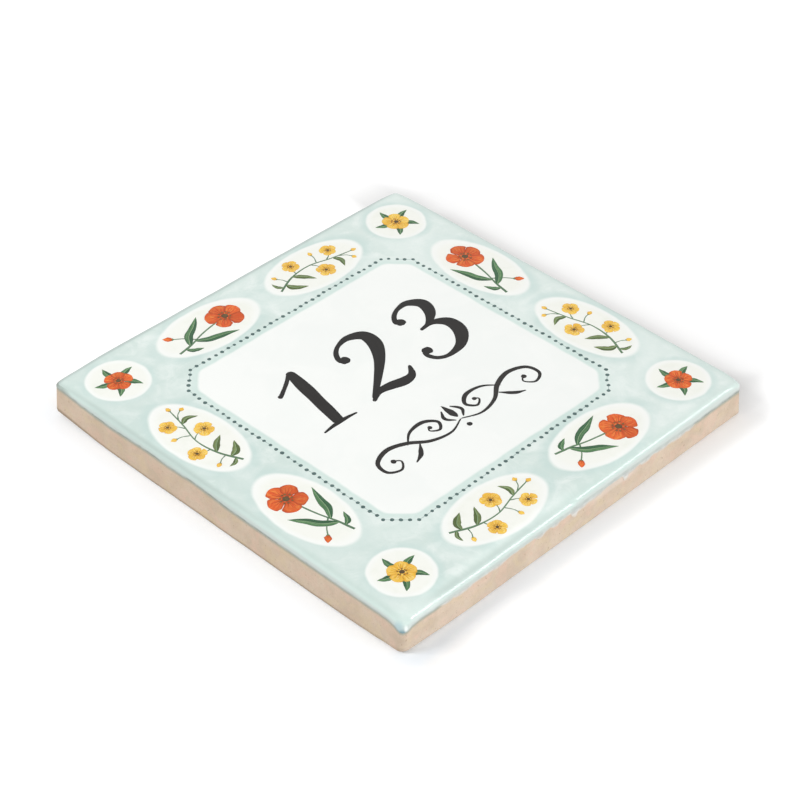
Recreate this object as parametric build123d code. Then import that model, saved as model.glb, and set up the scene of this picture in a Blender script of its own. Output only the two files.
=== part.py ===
from build123d import *
import os

# House number plaque: one pressed earthenware tile, glazed over its face and a short way down its sides.
# The origin is the centre of the back, +X runs along the number, +Y up the face and +Z out of the glaze.
# Lengths are in millimetres and angles in degrees.

# Overall size, over the glaze
FACE_SIDE = 100.0
THICKNESS = 9.0
CORNER_RADIUS = 1.6

# The glaze rolls over the edge of the face and ends on the side in a bead, proud of the bare clay
GLAZE_PROUD = 0.12
GLAZE_SKIRT = 1.8
ROLL_RADIUS = 0.8
BEAD_RADIUS = 0.1

# The worn lower edge of the clay
BACK_ARRIS = 0.4

# The keyed back: shallow pressed pockets between ribs that end level with a land round the edge
BACK_LAND = 6.0
POCKETS_PER_SIDE = 6
RIB_WIDTH = 2.5
POCKET_DEPTH = 0.6
POCKET_DRAFT = 30.0
POCKET_CORNER = 1.2

# The largest share of a wall that a rounding may take
ROUNDING_SHARE = 0.9

CLAY_SIDE = FACE_SIDE - 2 * GLAZE_PROUD
CLAY_CORNER = CORNER_RADIUS - GLAZE_PROUD
CLAY_HEIGHT = THICKNESS - GLAZE_SKIRT


def glaze_cap():
    """The glazed top of the tile, with its rolled upper edge and the bead along its lower one."""
    bead = min(BEAD_RADIUS, ROUNDING_SHARE * GLAZE_PROUD)
    roll = min(ROLL_RADIUS, ROUNDING_SHARE * min(GLAZE_SKIRT - bead, CORNER_RADIUS))
    cap = extrude(RectangleRounded(FACE_SIDE, FACE_SIDE, CORNER_RADIUS), GLAZE_SKIRT)
    cap = fillet(cap.faces().sort_by(Axis.Z)[-1].edges(), roll)
    cap = fillet(cap.faces().sort_by(Axis.Z)[0].edges(), bead)
    return Pos(0, 0, CLAY_HEIGHT) * cap


def clay_body():
    """The bare clay under the glaze, with upright sides and a softened lower edge."""
    clay = extrude(RectangleRounded(CLAY_SIDE, CLAY_SIDE, CLAY_CORNER), CLAY_HEIGHT)
    arris = min(BACK_ARRIS, ROUNDING_SHARE * CLAY_CORNER)
    return fillet(clay.faces().sort_by(Axis.Z)[0].edges(), arris)


def back_pockets():
    """The grid of drafted pockets that keys the back to its adhesive."""
    field = CLAY_SIDE - 2 * BACK_LAND
    pocket = (field + RIB_WIDTH) / POCKETS_PER_SIDE - RIB_WIDTH
    pitch = pocket + RIB_WIDTH
    corner = min(POCKET_CORNER, ROUNDING_SHARE * pocket / 2)
    one = extrude(RectangleRounded(pocket, pocket, corner), POCKET_DEPTH, taper=POCKET_DRAFT)
    return [place * one for place in GridLocations(pitch, pitch, POCKETS_PER_SIDE, POCKETS_PER_SIDE)]


def plaque():
    """The whole tile as one fired piece."""
    return clay_body() + glaze_cap() - back_pockets()


os.makedirs("parts", exist_ok=True)
export_step(plaque(), "parts/plaque.step")
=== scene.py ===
import math
import random

import bmesh
import bpy
import numpy as np
from mathutils import Matrix, Vector, noise


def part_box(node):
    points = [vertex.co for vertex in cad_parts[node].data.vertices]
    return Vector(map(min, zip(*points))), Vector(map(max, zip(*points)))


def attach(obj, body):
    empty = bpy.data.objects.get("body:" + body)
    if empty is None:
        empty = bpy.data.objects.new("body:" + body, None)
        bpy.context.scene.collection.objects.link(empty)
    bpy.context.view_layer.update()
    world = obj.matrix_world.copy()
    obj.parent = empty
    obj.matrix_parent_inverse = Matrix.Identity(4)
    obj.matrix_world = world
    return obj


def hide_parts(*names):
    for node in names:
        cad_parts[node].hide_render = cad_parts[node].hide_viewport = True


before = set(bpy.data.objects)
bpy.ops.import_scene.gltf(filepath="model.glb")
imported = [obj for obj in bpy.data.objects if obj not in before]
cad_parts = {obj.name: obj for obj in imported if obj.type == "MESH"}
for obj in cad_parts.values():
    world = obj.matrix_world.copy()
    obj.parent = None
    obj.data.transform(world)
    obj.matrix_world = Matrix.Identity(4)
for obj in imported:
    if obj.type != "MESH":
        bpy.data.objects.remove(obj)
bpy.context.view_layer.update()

# The look of a glazed house number plaque: a hand-dipped tile with a painted face.
# Lengths are in millimetres of the part's own frame until a mesh is made, which is in metres.

BODY = "root"
NODE = "plaque"
MM = 0.001

random.seed(11)

# Sizes of the tile, from the frame
TILE_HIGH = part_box(NODE)[1]
HALF_SIDE = TILE_HIGH.x / MM
THICKNESS = TILE_HIGH.z / MM

# The outline and the glaze over its edge
STEPS_PER_SIDE = 168
CORNER_RADIUS = 1.6
EDGE_WANDER = 0.05
FACE_REST = THICKNESS - 0.085
GLAZE_PROUD = 0.06
BEAD_RADIUS = 0.05
# The face's faint waves: the height of each, how fast it goes along X and along Y, and where it starts
FACE_WAVES = ((0.020, 0.31, 0.11, 0.4), (0.016, -0.13, 0.29, 1.9), (0.009, 0.52, 0.47, 4.1))

# How far the edges bow in from a true square, at places along each side in the outline's order
EDGE_BOW = (
    ((-50, 0.05), (50, 0.1)),
    ((-50, 0.1), (36, 0.05), (46, 0.25), (50, 0.9)),
    ((-50, 0.9), (-46, 0.25), (-36, 0.05), (24, 0.0), (36, 0.05), (46, 0.15), (50, 0.1)),
    ((-50, 0.1), (-44, 0.0), (50, 0.05)),
)
# How far the face has sunk where the roll of its edge starts, at the same kind of places
EDGE_FALL = (
    ((-50, 0.5), (-30, 0.82), (-10, 0.78), (-2.7, 0.76), (-1.7, 0.38), (10, 0.34), (30, 0.15), (44, 0.0),
     (50, 0.15)),
    ((-50, 0.45), (-45, 0.1), (50, 0.1)),
    ((-50, 0.04), (38, 0.05), (50, 0.35)),
    ((-50, 0.35), (-38, 0.08), (34, 0.08), (50, 0.35)),
)
FALL_WIDTH = 4.0
# How far the glaze runs down below the face, at the same kind of places
GLAZE_RUN = (
    ((-48, 2.3), (-42, 2.45), (-34, 2.5), (-26, 2.65), (-16, 2.5), (-4, 2.65), (8, 2.6), (20, 2.65),
     (34, 2.66), (48, 2.35)),
    ((-48, 2.2), (-20, 1.7), (10, 1.9), (48, 1.7)),
    ((-48, 1.6), (-15, 1.4), (20, 1.7), (48, 1.1)),
    ((-48, 1.05), (-38, 1.75), (-30, 1.95), (-21, 1.4), (-13, 1.7), (-6, 1.25), (1, 1.8), (10, 2.0),
     (30, 1.88), (48, 1.8)),
)
PROFILE_SMOOTHING = 5
# How it wanders from that: by how much, how many times to the millimetre, and the seed
DEPTH_WANDER = ((0.1, 0.3, 3.1), (0.08, 1.0, 8.7), (0.05, 2.2, 5.9))
# What the glaze pools beyond that at each corner, and how far from the corner
CORNER_POOL = {(-1, -1): 1.4, (1, -1): 0.35, (1, 1): 0.4, (-1, 1): 0.1}
CORNER_REACH = 2.2
# The deep glaze that pools at the front corner: centre, half widths, share and colour of each spot in it.
# The last, white spot is a painted highlight.
POOL_SPOTS = (
    ((-50.0, -48.8, 6.9), (1.4, 1.6, 2.2), 0.55, "#9dbcc4"),
    ((-49.5, -49.5, 5.6), (1.3, 1.3, 1.3), 0.85, "#7599a3"),
    # a white spot of painted highlight beside the tip
    ((-48.9, -50.0, 6.7), (0.6, 0.8, 1.4), 0.75, "#f2f8f6"),
)
SPOT_CORE = 0.25
# The roll of the edge: its share of the glaze's depth, its largest width, its share of the height over the
# bead, and the step over which the face's tilt is taken
ROLL_SHARE = 0.5
LARGEST_ROLL = 1.15
ROLL_LIMIT = 0.85
TILT_PROBE = 0.2

# The sides' clay: how far it tucks in behind the bead, where it starts below the rim, and its unevenness
BEAD_TUCK = 0.02
CLAY_START = 0.03
CLAY_WANDER = 0.02
SCUFF = 0.03
SCUFF_DRIFT = 7.0
# How many rows of faces go down each part of the edge and the sides
ROLL_ROWS, SKIRT_ROWS, BEAD_ROWS, CLAY_ROWS, FOOT_ROWS = 10, 6, 3, 8, 4
# The tile's two materials, and the angle from which an edge of it stays sharp
GLAZED, BARE = 0, 1
TILE_CREASE = math.radians(50)

# The worn lower edge of the clay, and how much more of it is gone at each corner
BACK_ARRIS = 0.35
ARRIS_WANDER = 0.3
CORNER_WEAR = {(-1, -1): 0.9, (1, -1): 0.2, (1, 1): 0.25, (-1, 1): 1.5}
WEAR_REACH = 11.0
# How much smaller each corner's radius is at the foot than at the rim, and the least that is left of it
FOOT_CORNER = {(-1, -1): -0.6, (1, -1): 1.1, (1, 1): 0.0, (-1, 1): 1.1}
FOOT_REACH = 6.0
LEAST_CORNER = 0.3

# The ragged fringe of thin white glaze on the front side: its ends, and how its shade and hang fade there
FRINGE = (-41.0, 36.0)
FRINGE_SHADE_FADE = 4.0
FRINGE_HANG_FADE = 3.0
FACING_FRONT = -0.99
FRINGE_STEP = 0.16
FRINGE_ROWS = 6
# How far it hangs below the rim, how that wanders, and its longest runs as place, half width and depth
FRINGE_HANG = 0.3
FRINGE_WANDER = ((0.22, 0.45, 4.2), (0.2, 1.3, 7.7), (0.12, 3.1, 1.9))
FRINGE_RUNS = (
    (-38.5, 1.8, 0.35), (-34.0, 2.2, 0.55), (-24.0, 1.6, 0.4), (-12.5, 1.3, 0.5), (-8.0, 1.0, 0.45),
    (-2.6, 0.9, 1.35), (-0.6, 1.6, 0.7), (3.0, 2.4, 0.5), (12.8, 0.8, 1.15), (14.0, 1.6, 0.5),
    (19.0, 1.5, 0.7), (24.0, 2.0, 0.35), (29.0, 2.2, 0.55), (33.0, 1.2, 0.4),
)
# How far over the rim its top and its ends lie, its least height, and how deep in the tile its back lies
FRINGE_TUCK = 0.35
FRINGE_END = 0.25
FRINGE_LEAST = 0.05
FRINGE_ROOT = 0.3
# How far behind the glaze's skin its own skin lies, at depths below the rim
FRINGE_SKIN = ((-FRINGE_TUCK, 0.04), (0.0, 0.004), (0.2, -0.01))

# The keyed back
BACK_LAND = 6.0
POCKETS_PER_SIDE = 6
RIB_WIDTH = 2.5
POCKET_DEPTH = 0.6
POCKET_DRAFT = math.radians(30)
POCKET_CORNER = 1.2
POCKET_CORNER_STEPS = 5

# The painted layout
PANEL_HALF = 31.0
PANEL_CLIP = 4.2
BORDER_HALF = 32.6
BORDER_CLIP = 4.9
DOT_PITCH = 1.72
DOT_RADIUS = 0.4
DOT_STRAY = 0.07
LINE_SHARE = 0.6
OVAL_ALONG = 15.3
OVAL_OUT = 40.8
OVAL_LONG = 13.0
OVAL_SHORT = 7.0
ROUNDEL_PLACE = 40.4
ROUNDEL_RADIUS = 6.7
# The centres and half widths of the medallions in a quarter of the face, which the other quarters mirror
MEDALLIONS = (
    ((OVAL_ALONG, OVAL_OUT), (OVAL_LONG, OVAL_SHORT)),
    ((OVAL_OUT, OVAL_ALONG), (OVAL_SHORT, OVAL_LONG)),
    ((ROUNDEL_PLACE, ROUNDEL_PLACE), (ROUNDEL_RADIUS, ROUNDEL_RADIUS)),
)
PETALS = 5
POLLEN_SPOTS = 9
NUMBER_BASE = -1.6
FLOURISH_HEIGHT = -16.4

# The paint stands this far over the glaze, each later layer a little further, each mark a hair over the last
INK_RISE = 0.008
LAYER_RISE = 0.004
MARK_RISE = 0.0003
MARK_CYCLE = 10
INK_SINK = 0.03
BLOT_STEPS = 15
LEAST_HALF = 0.025
FILM_CREASE = math.radians(40)
# How many steps a curve takes from one given point to the next, and how far apart a mark's own points are
CURVE_STEPS = 24
MARK_SPACING = 0.18

# The camera, from the tile's edges in the picture
CAMERA_AZIMUTH = -45.93
CAMERA_ELEVATION = 38.82
CAMERA_ROLL = 0.50
CAMERA_DISTANCE = 480.4
CAMERA_AIM = (3.55, 3.05, 0.0)
CAMERA_LENS = 103.9
SENSOR = 36.0


def linear(code):
    """A colour written as #rrggbb, as the linear numbers that a shader takes."""
    parts = [int(code[i:i + 2], 16) / 255 for i in (1, 3, 5)]
    return tuple(p / 12.92 if p <= 0.04045 else ((p + 0.055) / 1.055) ** 2.4 for p in parts) + (1.0,)


# Shader nodes


class Nodes:
    """A tree of shader nodes."""

    def __init__(self, tree):
        self.tree = tree

    def feed(self, inputs, values):
        """Links inputs to other nodes, or sets their values, by name or number."""
        for name, value in values.items():
            if isinstance(value, bpy.types.NodeSocket):
                self.tree.links.new(value, inputs[name])
            elif value is not None:
                inputs[name].default_value = value

    def add(self, kind, values, **settings):
        """The outputs of a new node with these settings and these inputs."""
        node = self.tree.nodes.new(kind)
        for name, value in settings.items():
            setattr(node, name, value)
        self.feed(node.inputs, values)
        return node.outputs

    def math(self, operation, *values):
        return self.add("ShaderNodeMath", dict(enumerate(values)), operation=operation)[0]

    def fold(self, operation, first, *others):
        """One operation over several values in turn."""
        for other in others:
            first = self.math(operation, first, other)
        return first

    def product(self, *values):
        return self.fold("MULTIPLY", *values)

    def seen_directly(self):
        """1 for rays that show the background: those of the camera, of gloss and of clear things."""
        path = self.add("ShaderNodeLightPath", {})
        kinds = ("Camera", "Glossy", "Transmission")
        return self.fold("MAXIMUM", *[path[f"Is {kind} Ray"] for kind in kinds])


class Paint(Nodes):
    """One material's nodes, with places in millimetres of the part's own frame."""

    def __init__(self, name):
        self.material = bpy.data.materials.new(name)
        self.material.use_nodes = True
        super().__init__(self.material.node_tree)
        self.place = self.vector("SCALE", self.add("ShaderNodeTexCoord", {})["Object"], scale=1 / MM)
        self.right, self.up, self.high = self.split(self.place)

    def vector(self, operation, first, second=None, scale=None):
        outputs = self.add("ShaderNodeVectorMath", {0: first, 1: second, 3: scale}, operation=operation)
        return outputs[1 if operation == "LENGTH" else 0]

    def split(self, vector):
        return self.add("ShaderNodeSeparateXYZ", {0: vector})

    def join(self, x, y, z=0.0):
        return self.add("ShaderNodeCombineXYZ", {0: x, 1: y, 2: z})[0]

    def noise(self, scale, detail=2.0, roughness=0.5, place=None, output="Fac", distortion=0.0):
        """Noise with about this many features to the millimetre."""
        values = {"Vector": place or self.place, "Scale": scale, "Detail": detail, "Roughness": roughness,
                  "Distortion": distortion}
        return self.add("ShaderNodeTexNoise", values)[output]

    def ramp(self, value, start, end, low=0.0, high=1.0):
        """A soft step from low at start to high at end."""
        values = {"Value": value, "From Min": start, "From Max": end, "To Min": low, "To Max": high}
        return self.add("ShaderNodeMapRange", values, interpolation_type="SMOOTHSTEP")[0]

    def blend(self, share, *colours):
        """A colour that goes from the first to the second as the share goes from 0 to 1."""
        first, second = [linear(colour) if isinstance(colour, str) else colour for colour in colours]
        return self.add("ShaderNodeMix", {"Factor": share, 6: first, 7: second}, data_type="RGBA")[2]

    def layers(self, colour, *tints):
        """A colour with tints laid over it in turn, each a share and a colour."""
        for share, tint in tints:
            colour = self.blend(share, colour, tint)
        return colour

    def attribute(self, name):
        return self.add("ShaderNodeAttribute", {}, attribute_name=name)["Fac"]

    def stroke(self):
        """How far along and across its brush mark a place is, from 0 to 1."""
        return self.split(self.add("ShaderNodeUVMap", {}, uv_map="stroke")[0])

    def bump(self, height, depth, normal=None):
        """A bump of this depth in millimetres."""
        return self.add("ShaderNodeBump", {"Height": height, "Distance": depth * MM, "Normal": normal})[0]

    def finish(self, values):
        """The material, with these values on its surface."""
        self.feed(self.tree.nodes["Principled BSDF"].inputs, values)
        return self.material


# Materials

GLAZE_IOR = 1.37
CLAY_IOR = 1.4
PAINT_WANDER = 0.7
BLOOM_MIDDLE = 9.5


def glaze_finish(paint, colour):
    """The clear gloss that covers ground and paint alike, with a faint ripple."""
    ripple = paint.bump(paint.noise(0.45, 2.0), 0.012)
    roughness = paint.ramp(paint.noise(0.2, 3.0), 0.3, 0.7, 0.07, 0.13)
    return paint.finish({"Base Color": colour, "Roughness": roughness, "Normal": ripple, "IOR": GLAZE_IOR})


def oval_depth(paint, x, y, centre, half):
    """About how far inside an oval a point is, in millimetres, and negative outside it."""
    across = paint.math("DIVIDE", paint.math("SUBTRACT", x, centre[0]), half[0])
    along = paint.math("DIVIDE", paint.math("SUBTRACT", y, centre[1]), half[1])
    reach = paint.vector("LENGTH", paint.join(across, along))
    return paint.product(paint.math("SUBTRACT", 1.0, reach), min(half))


def panel_depth(paint, x, y):
    """How far inside the panel with its clipped corners a point is."""
    side = paint.math("SUBTRACT", PANEL_HALF, paint.math("MAXIMUM", x, y))
    clip = paint.math("SUBTRACT", 2 * PANEL_HALF - PANEL_CLIP, paint.math("ADD", x, y))
    return paint.math("SMOOTH_MIN", side, paint.product(clip, math.sqrt(0.5)), 1.5)


def ground_colour(paint, clouds, wash, inside, medallion, panel):
    """Pale watercolour washes, darker at the edge of the face and round the medallions and the panel, with a
    painted sheen that lightens it towards +X.
    """
    back = paint.math("ADD", paint.right, paint.up)
    off_corner = paint.math("MAXIMUM", paint.ramp(back, -94.0, -80.0, 0.1, 1.0),
                            paint.ramp(paint.right, -46.8, -48.2))
    halo = paint.product(paint.ramp(medallion, -2.2, -0.25), paint.ramp(clouds, 0.0, 1.0, 0.2, 0.6))
    return paint.layers(
        paint.blend(clouds, "#e0ece7", "#d2e2dc"),
        (paint.product(wash, 0.8), "#edf5f1"),
        (paint.ramp(paint.noise(1.1, 3.0, 0.6), 0.45, 0.8, 0.0, 0.25), "#cadcd6"),
        # lighter towards +X: a painted sheen
        (paint.ramp(paint.right, 10.0, 44.0, 0.06, 0.46), "#ebf4f0"),
        (paint.ramp(paint.right, -26.0, -44.0, 0.0, 0.3), "#c3d6d0"),
        (paint.product(paint.ramp(inside, 2.8, 0.4, 0.0, 0.6), off_corner), "#c6dad3"),
        (halo, "#c6dcd7"),
        (paint.ramp(panel, -2.6, -0.3, 0.0, 0.5), "#cde4dd"),
    )


def face_colour(paint):
    """The ground with its cream medallions and white panel, whose edges wander."""
    wander = paint.vector("SUBTRACT", paint.noise(0.16, 2.0, output="Color"), (0.5, 0.5, 0.5))
    wandered = paint.vector("ADD", paint.place, paint.vector("SCALE", wander, scale=PAINT_WANDER))
    x, y, _ = paint.split(paint.vector("ABSOLUTE", wandered))
    inside = paint.math("SUBTRACT", HALF_SIDE, paint.math("MAXIMUM", x, y))
    medallion = paint.fold("MAXIMUM", *[oval_depth(paint, x, y, *oval) for oval in MEDALLIONS])
    panel = panel_depth(paint, x, y)
    clouds = paint.ramp(paint.noise(0.075, 3.0, 0.55, distortion=0.6), 0.36, 0.66)
    wash = paint.ramp(paint.noise(0.21, 4.0, 0.6, distortion=0.8), 0.42, 0.72)
    cream = paint.layers("#f6f7f0", (paint.ramp(wash, 0.0, 1.0, 0.0, 0.7), "#f1f3ea"),
                         (paint.ramp(medallion, 1.5, 0.2, 0.0, 0.8), "#f8faf7"))
    white = paint.blend(paint.ramp(clouds, 0.0, 1.0, 0.0, 0.6), "#f8faf7", "#f4f7f4")
    return paint.layers(
        ground_colour(paint, clouds, wash, inside, medallion, panel),
        (paint.ramp(medallion, -0.35, 0.3), cream),
        (paint.ramp(panel, -0.4, 0.35), white),
    )


def edge_tints(paint):
    """Tints where the face turns down: the skirt in painted shade, bands at the left (painted shade) and
    front, lines on the far sides.
    """
    right, up, turned = paint.right, paint.up, paint.attribute("skirt")
    # painted shade on the left edge, where the roll faces away from the light
    left_edge_shade = paint.product(paint.ramp(right, 1.8 - HALF_SIDE, 0.6 - HALF_SIDE),
                              paint.ramp(up, -20.0, 6.0, 0.2, 0.62), paint.ramp(up, 34.0, 42.0, 1.0, 0.65))
    front_band = paint.product(paint.ramp(up, 2.6 - HALF_SIDE, 1.2 - HALF_SIDE),
                               paint.ramp(right, 8.0, -24.0, 0.0, 0.5), paint.ramp(right, -46.0, -36.0),
                               paint.ramp(turned, 0.0, 0.4, 1.0, 0.2))
    far_line = paint.math("MAXIMUM", paint.ramp(up, HALF_SIDE - 1.6, HALF_SIDE - 0.7, 0.0, 0.5),
                          paint.ramp(right, HALF_SIDE - 1.4, HALF_SIDE - 0.6, 0.0, 0.2))
    # the grey skirt is painted shade on the glaze where it turns down
    return [(paint.ramp(turned, 0.45, 0.95), "#c3ccc8"),
            (paint.math("MAXIMUM", left_edge_shade, front_band), "#b2c2bc"), (far_line, "#a0aaa8")]


def pool_tints(paint):
    """Tints of the deep glaze at the front corner, and a painted highlight beside its tip."""
    tints = []
    for centre, half, share, tint in POOL_SPOTS:
        away = paint.vector("DIVIDE", paint.vector("SUBTRACT", paint.place, centre), half)
        tints.append((paint.ramp(paint.vector("LENGTH", away), 1.0, SPOT_CORE, 0.0, share), tint))
    return tints


def rim_shade(paint):
    """Painted shade along the glaze's rim: a thin line, partly its own dark edge, and a softer band where
    the fringe hangs out below.
    """
    right, up = paint.right, paint.up
    above_rim, fringe = paint.attribute("above_rim"), paint.attribute("fringe")
    reach = paint.math("MAXIMUM", paint.ramp(right, 28.0, 42.0, 0.65, 1.0),
                       paint.ramp(paint.math("SUBTRACT", up, right), 91.0, 98.0, 0.65, 1.3))
    line = paint.product(paint.ramp(above_rim, reach, 0.15), paint.ramp(fringe, 0.0, 1.0, 0.72, 0.0),
                         paint.ramp(paint.math("ADD", right, up), -85.0, -60.0, 0.6, 1.0))
    band = paint.product(paint.ramp(above_rim, 1.0, 0.5), paint.ramp(right, -12.0, 4.0, 0.15, 0.29), fringe)
    uneven = paint.ramp(paint.noise(0.3, 3.0, 0.6), 0.35, 0.62, 0.5, 1.0)
    return paint.product(paint.math("ADD", line, band), uneven)


def glaze_material():
    """The painted face and the glaze over its edge."""
    paint = Paint("painted_glaze")
    tints = edge_tints(paint) + pool_tints(paint) + [(rim_shade(paint), "#6f7268")]
    return glaze_finish(paint, paint.layers(face_colour(paint), *tints))


def near_side(paint, place, low=0.0, high=1.0):
    """A soft step on to the left side, for a place along X, or on to the front side, for one along Y."""
    return paint.ramp(place, 1.5 - HALF_SIDE, 0.5 - HALF_SIDE, low, high)


def clay_colour(paint, grain):
    """Buff clay with soft mottles, pink and yellow patches, fine grain and dark specks."""
    patch = paint.noise(0.24, 2.0, 0.5, distortion=0.6)
    return paint.layers(
        paint.blend(paint.ramp(paint.noise(0.16, 4.0, 0.6), 0.34, 0.68), "#d0bfac", "#c2b09c"),
        (paint.ramp(paint.noise(0.45, 3.0, 0.6, distortion=0.5), 0.4, 0.85, 0.0, 0.42), "#d8b9a5"),
        (paint.ramp(patch, 0.5, 0.68, 0.0, 0.42), "#d9b9a7"),
        (paint.ramp(patch, 0.5, 0.32, 0.0, 0.5), "#cfbe9d"),
        (paint.ramp(grain, 0.35, 0.75, 0.0, 0.35), "#b9a38d"),
        (paint.ramp(paint.noise(1.9, 1.0, 0.4), 0.7, 0.78, 0.0, 0.5), "#9a7f67"),
    )


def clay_tints(paint):
    """Tints: painted shade on the left side, bloom and a pale foot on the front, glaze soaked in with
    painted shade under the rim, and painted shade along the foot.
    """
    front = near_side(paint, paint.up)
    # painted shade: the left side's clay darker, as if less lit
    left_side_shade = paint.product(near_side(paint, paint.right), paint.ramp(paint.up, -30.0, 20.0, 0.1, 0.18))
    off_bloom = paint.math("ABSOLUTE", paint.math("SUBTRACT", paint.right, BLOOM_MIDDLE))
    bloom = paint.product(paint.ramp(off_bloom, 9.0, 4.0, 0.0, 0.4), paint.ramp(paint.high, 4.0, 5.2), front)
    pale_foot = paint.product(paint.ramp(paint.high, 3.6, 1.4, 0.0, 0.1), front)
    # clay just under the rim darker: glaze soaked in, and painted shade under the glaze's edge
    rim_soak_and_shade = paint.product(paint.ramp(paint.attribute("above_rim"), -0.9, -0.05),
                          paint.ramp(paint.attribute("fringe"), 0.0, 1.0, 0.7, 0.1))
    # painted shade along the foot where it meets the floor, strongest on the left side
    foot_shade = paint.product(paint.ramp(paint.attribute("above_foot"), 0.6, -0.1),
                          near_side(paint, paint.right, 0.08, 0.75),
                          paint.ramp(paint.up, -HALF_SIDE, -25.0, 0.3, 1.0))
    return ((left_side_shade, "#a08a72"), (bloom, "#ddd3cb"), (pale_foot, "#e3d7cb"),
            (rim_soak_and_shade, "#87968d"), (foot_shade, "#8a7763"))


def clay_material():
    """Bare earthenware with a fine grain and small pits."""
    paint = Paint("bare_clay")
    grain = paint.noise(3.2, 4.0, 0.65)
    colour = paint.layers(clay_colour(paint, grain), *clay_tints(paint))
    pits = paint.bump(paint.ramp(paint.noise(1.6, 2.0), 0.62, 0.75, 1.0, 0.0), 0.05)
    rough = paint.bump(grain, 0.05, pits)
    roughness = paint.ramp(grain, 0.3, 0.7, 0.78, 0.95)
    return paint.finish({"Base Color": colour, "Roughness": roughness, "Normal": rough, "IOR": CLAY_IOR})


def fringe_material():
    """Thin milky glaze that lets some of the clay through, with painted shade at its top under the glaze's
    rim.
    """
    paint = Paint("thin_white_glaze")
    _, down, _ = paint.stroke()
    shade = paint.product(paint.ramp(down, 0.65, 0.15, 0.0, 0.42),
                          paint.ramp(paint.noise(0.5, 2.0), 0.38, 0.6, 0.35, 1.0))
    colour = paint.layers(
        paint.blend(paint.ramp(paint.noise(0.9, 3.0, 0.6), 0.35, 0.65), "#bab9b3", "#c6c8c4"),
        (paint.ramp(paint.high, 5.8, 5.3, 0.0, 0.7), "#dcdad6"),
        (shade, "#a3adb0"),
        (paint.ramp(down, 0.5, 1.0, 0.0, 0.75), "#d0c0af"),
    )
    return glaze_finish(paint, colour)


def ink_material(name, dark, middle, light, streaks=1.0, base=0.2):
    """Brushed paint under glaze: streaks, pooled edges, a darker base and each stroke's own tone."""
    paint = Paint(name)
    along, across, _ = paint.stroke()
    tone = paint.attribute("tone")
    lane = paint.join(paint.product(along, 2.0), paint.product(across, 7.0), paint.product(tone, 37.0))
    streak = paint.ramp(paint.noise(1.0, 3.0, 0.6, place=lane), 0.35, 0.7)
    speckle = paint.ramp(paint.noise(1.7, 3.0, 0.6), 0.3, 0.7, 0.35, 1.0)
    edge = paint.math("ABSOLUTE", paint.math("SUBTRACT", paint.product(across, 2.0), 1.0))
    depth = paint.fold("ADD", paint.ramp(edge, 0.55, 1.0, 0.0, 0.55), paint.ramp(tone, 0.2, 1.0, 0.0, 0.35),
                       paint.ramp(along, 0.5, 0.0, 0.0, base))
    colour = paint.layers(middle, (paint.product(streak, streaks, speckle), light),
                          (paint.math("MINIMUM", depth, 1.0), dark))
    return glaze_finish(paint, colour)


# The tile


def outline():
    """Points round the glazed outline and their normals, from the corner at -X -Y along the -Y side."""
    straight = 2 * (HALF_SIDE - CORNER_RADIUS)
    arc = CORNER_RADIUS * math.pi / 4
    inner = HALF_SIDE - CORNER_RADIUS
    length = np.arange(STEPS_PER_SIDE) / STEPS_PER_SIDE * (straight + 2 * arc)
    turn = np.where(length < arc, length - arc, np.maximum(length - arc - straight, 0)) / CORNER_RADIUS
    along = np.clip(length - arc, 0, straight) - inner + CORNER_RADIUS * np.sin(turn)
    out = inner + CORNER_RADIUS * np.cos(turn)
    points, normals = [], []
    for quarter in range(4):
        forth, side = side_axes(quarter)
        points.append(np.outer(along, forth) + np.outer(out, side))
        normals.append(np.outer(np.sin(turn), forth) + np.outer(np.cos(turn), side))
    return np.concatenate(points), np.concatenate(normals)


def wander_at(points, scale, seed):
    """Smooth noise from -1 to 1 at points of the plan."""
    return np.array([noise.noise(Vector((x * scale, y * scale, seed))) for x, y in points])


def wander_sum(points, waves):
    """Several such noises together, each with its size, scale and seed."""
    return sum(size * wander_at(points, scale, seed) for size, scale, seed in waves)


def heading(degrees):
    """The directions at an angle and to the left of it."""
    angle = math.radians(degrees)
    forth = np.array((math.cos(angle), math.sin(angle)))
    return forth, np.array((-forth[1], forth[0]))


def side_axes(quarter):
    """The directions along and out of one of the four sides, in the outline's order."""
    forth, left = heading(90 * quarter)
    return forth, -left


def face_height(x, y):
    """Height of the glazed face over the plan, with its faint waves and the fall towards its edges."""
    height = np.full(np.shape(x), FACE_REST)
    for size, fx, fy, start in FACE_WAVES:
        height = height + size * np.sin(fx * x + fy * y + start)
    for quarter, profile in enumerate(EDGE_FALL):
        forth, out = side_axes(quarter)
        inside = HALF_SIDE - out[0] * x - out[1] * y
        share = np.maximum(FALL_WIDTH - inside, 0) / (FALL_WIDTH - LARGEST_ROLL)
        places, falls = np.array(profile).T
        height = height - np.interp(forth[0] * x + forth[1] * y, places, falls) * share ** 2
    return height


def around(values, count):
    """Smooths values round the outline."""
    spread = range(-count, count + 1)
    return sum(np.roll(values, k) for k in spread) / len(spread)


def corner_share(points, amounts, reach):
    """Amounts at the four corners that fade within their reach."""
    total = np.zeros(len(points))
    for corner, amount in amounts.items():
        away = np.hypot(*(points - np.array(corner) * HALF_SIDE).T)
        total += amount * np.exp(-(away / reach) ** 2)
    return total


def along_sides(points, profiles):
    """A number at each place of the outline, from places and numbers along each of the four sides."""
    numbers = []
    for quarter, profile in enumerate(profiles):
        side = points[quarter * STEPS_PER_SIDE:(quarter + 1) * STEPS_PER_SIDE]
        places, values = np.array(profile).T
        numbers.append(np.interp(side @ side_axes(quarter)[0], places, values))
    return around(np.concatenate(numbers), PROFILE_SMOOTHING)


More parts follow.
